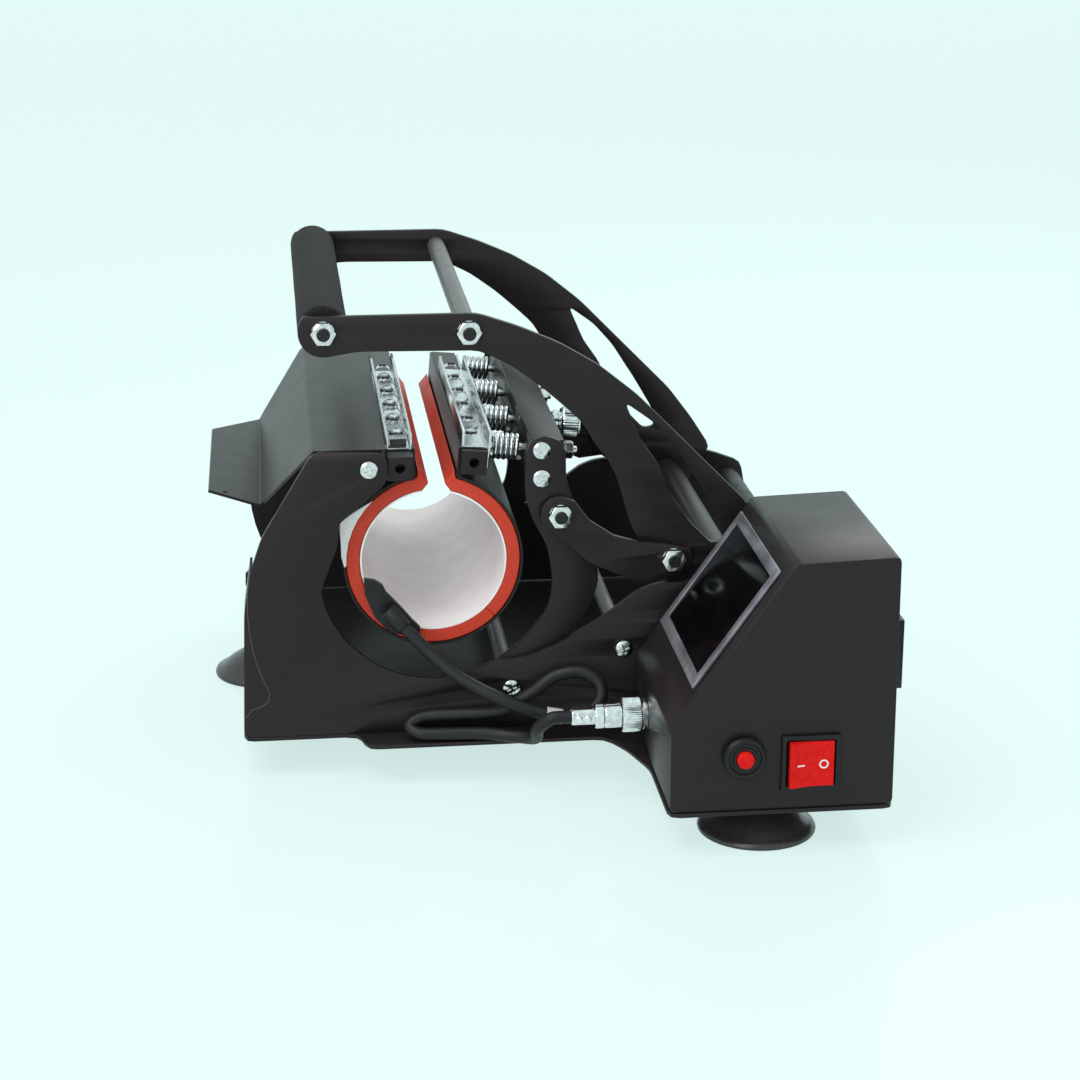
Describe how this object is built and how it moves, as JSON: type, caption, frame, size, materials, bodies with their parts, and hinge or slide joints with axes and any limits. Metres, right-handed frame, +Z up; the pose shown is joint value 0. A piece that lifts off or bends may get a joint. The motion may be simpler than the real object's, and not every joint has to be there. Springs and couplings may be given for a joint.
{
  "type": "tumbler heat press",
  "caption": "Bench press that closes a sprung red ring heater round a tumbler with a long lever, next to a control box with a slanted screen.",
  "frame": {"origin": "on the bench under the centre of the press, measured without the heater lead and its plug", "axes": "+Z up; +X along the lever towards the fulcrum and the control box; +Y along the heater, away from the front; the front faces -Y"},
  "size_m": [0.4012, 0.4404, 0.294],
  "materials": {
    "black_steel": "satin powder coat",
    "bright_steel": "bright zinc plated",
    "silicone": "matte red silicone",
    "lining": "satin silver",
    "black_foam": "matte foam",
    "black_rubber": "satin rubber",
    "black_plastic": "satin",
    "red_plastic": "gloss",
    "glass": "dark gloss",
    "board_green": "matte"
  },
  "bodies": {
    "frame": {"base_plate": "black_steel", "box_foot": "black_rubber", "box_lid": "black_steel", "box_shell": "black_steel", "breaker_body": "black_plastic", "control_board": "board_green", "cover_tie_rod": "bright_steel", "end_cover": "black_steel", "fixed_clamp_bar": "black_steel", "fixed_clamp_channel": "bright_steel", "front_side_plate": "black_steel", "fulcrum_shaft": "bright_steel", "heater_band_left": "bright_steel", "heater_lead": "black_rubber", "heater_lining_left": "lining", "heater_pad_left": "silicone", "jaw_pivot_shaft": "bright_steel", "lead_boot": "black_rubber", "lower_tie_rod": "bright_steel", "panel_socket": "bright_steel", "plug_body": "bright_steel", "power_inlet": "black_plastic", "rear_left_foot": "black_rubber", "rear_right_foot": "black_rubber", "rear_side_plate": "black_steel", "rocker_frame": "black_plastic", "screen_frame": "bright_steel", "screen_glass": "glass", "stop_bar": "black_rubber", "top_cover": "black_steel"},
    "lever": {"front_arm": "black_steel", "rear_arm": "black_steel", "handle_rod": "bright_steel", "handle_grip": "black_foam", "cross_rod": "black_steel", "fulcrum_tube": "black_steel"},
    "links": {"front_link": "black_steel", "rear_link": "black_steel", "front_lever_bolt": "bright_steel", "rear_lever_bolt": "bright_steel", "front_jaw_bolt": "bright_steel", "rear_jaw_bolt": "bright_steel"},
    "jaw": {"front_jaw": "black_steel", "rear_jaw": "black_steel", "jaw_bar": "black_steel", "press_spring_1": "bright_steel", "press_spring_2": "bright_steel", "press_spring_3": "bright_steel", "press_spring_4": "bright_steel"},
    "strip": {"press_bar": "black_steel", "press_channel": "bright_steel", "heater_band_right": "bright_steel", "heater_pad_right": "silicone", "heater_lining_right": "lining"},
    "knob": {"pressure_knob": "bright_steel"},
    "power_switch": {"rocker": "red_plastic"},
    "reset": {"reset_button": "red_plastic"},
    "coupling_ring": {"plug_ring": "bright_steel"}
  },
  "joints": [
    {"name": "lever_fold", "type": "hinge", "parent": "frame", "child": "lever", "pos_m": [0.12686, 0.07008, 0.10708], "axis": [0, 1, 0], "range_deg": [0, 42]},
    {"name": "jaw_swing", "type": "hinge", "parent": "frame", "child": "jaw", "pos_m": [-0.01449, 0.07008, 0.05296], "axis": [0, 1, 0], "range_deg": [0, 11.91]},
    {"name": "link_swing", "type": "hinge", "parent": "lever", "child": "links", "pos_m": [0.08564, 0.07008, 0.13308], "axis": [0, 1, 0], "range_deg": [-65.21, 0]},
    {"name": "strip_slide", "type": "slide", "parent": "jaw", "child": "strip", "axis": [0.9962, 0, -0.0872], "range_m": [0, 0.006], "stiffness_N_per_m": 8000, "springref_m": -0.002, "deforming": ["press_spring_1", "press_spring_2", "press_spring_3", "press_spring_4"]},
    {"name": "knob_turn", "type": "hinge", "parent": "jaw", "child": "knob", "pos_m": [0.01858, 0.00208, 0.20271], "axis": [0.9962, 0, -0.0872], "range_deg": [0, 720]},
    {"name": "power_rock", "type": "hinge", "parent": "frame", "child": "power_switch", "pos_m": [0.14266, -0.21522, 0.055], "axis": [0, 0, -1], "range_deg": [0, 14]},
    {"name": "reset_press", "type": "slide", "parent": "frame", "child": "reset", "axis": [0, 1, 0], "range_m": [0, 0.003], "stiffness_N_per_m": 300},
    {"name": "ring_turn", "type": "hinge", "parent": "frame", "child": "coupling_ring", "pos_m": [0.06205, -0.12468, 0.05291], "axis": [-1, 0, 0], "range_deg": [0, 360]}
  ],
  "couplings": [
    {"joint": "jaw_swing", "follows": "lever_fold", "ratio": 0.2788},
    {"joint": "link_swing", "follows": "lever_fold", "ratio": -1.5406}
  ]
}
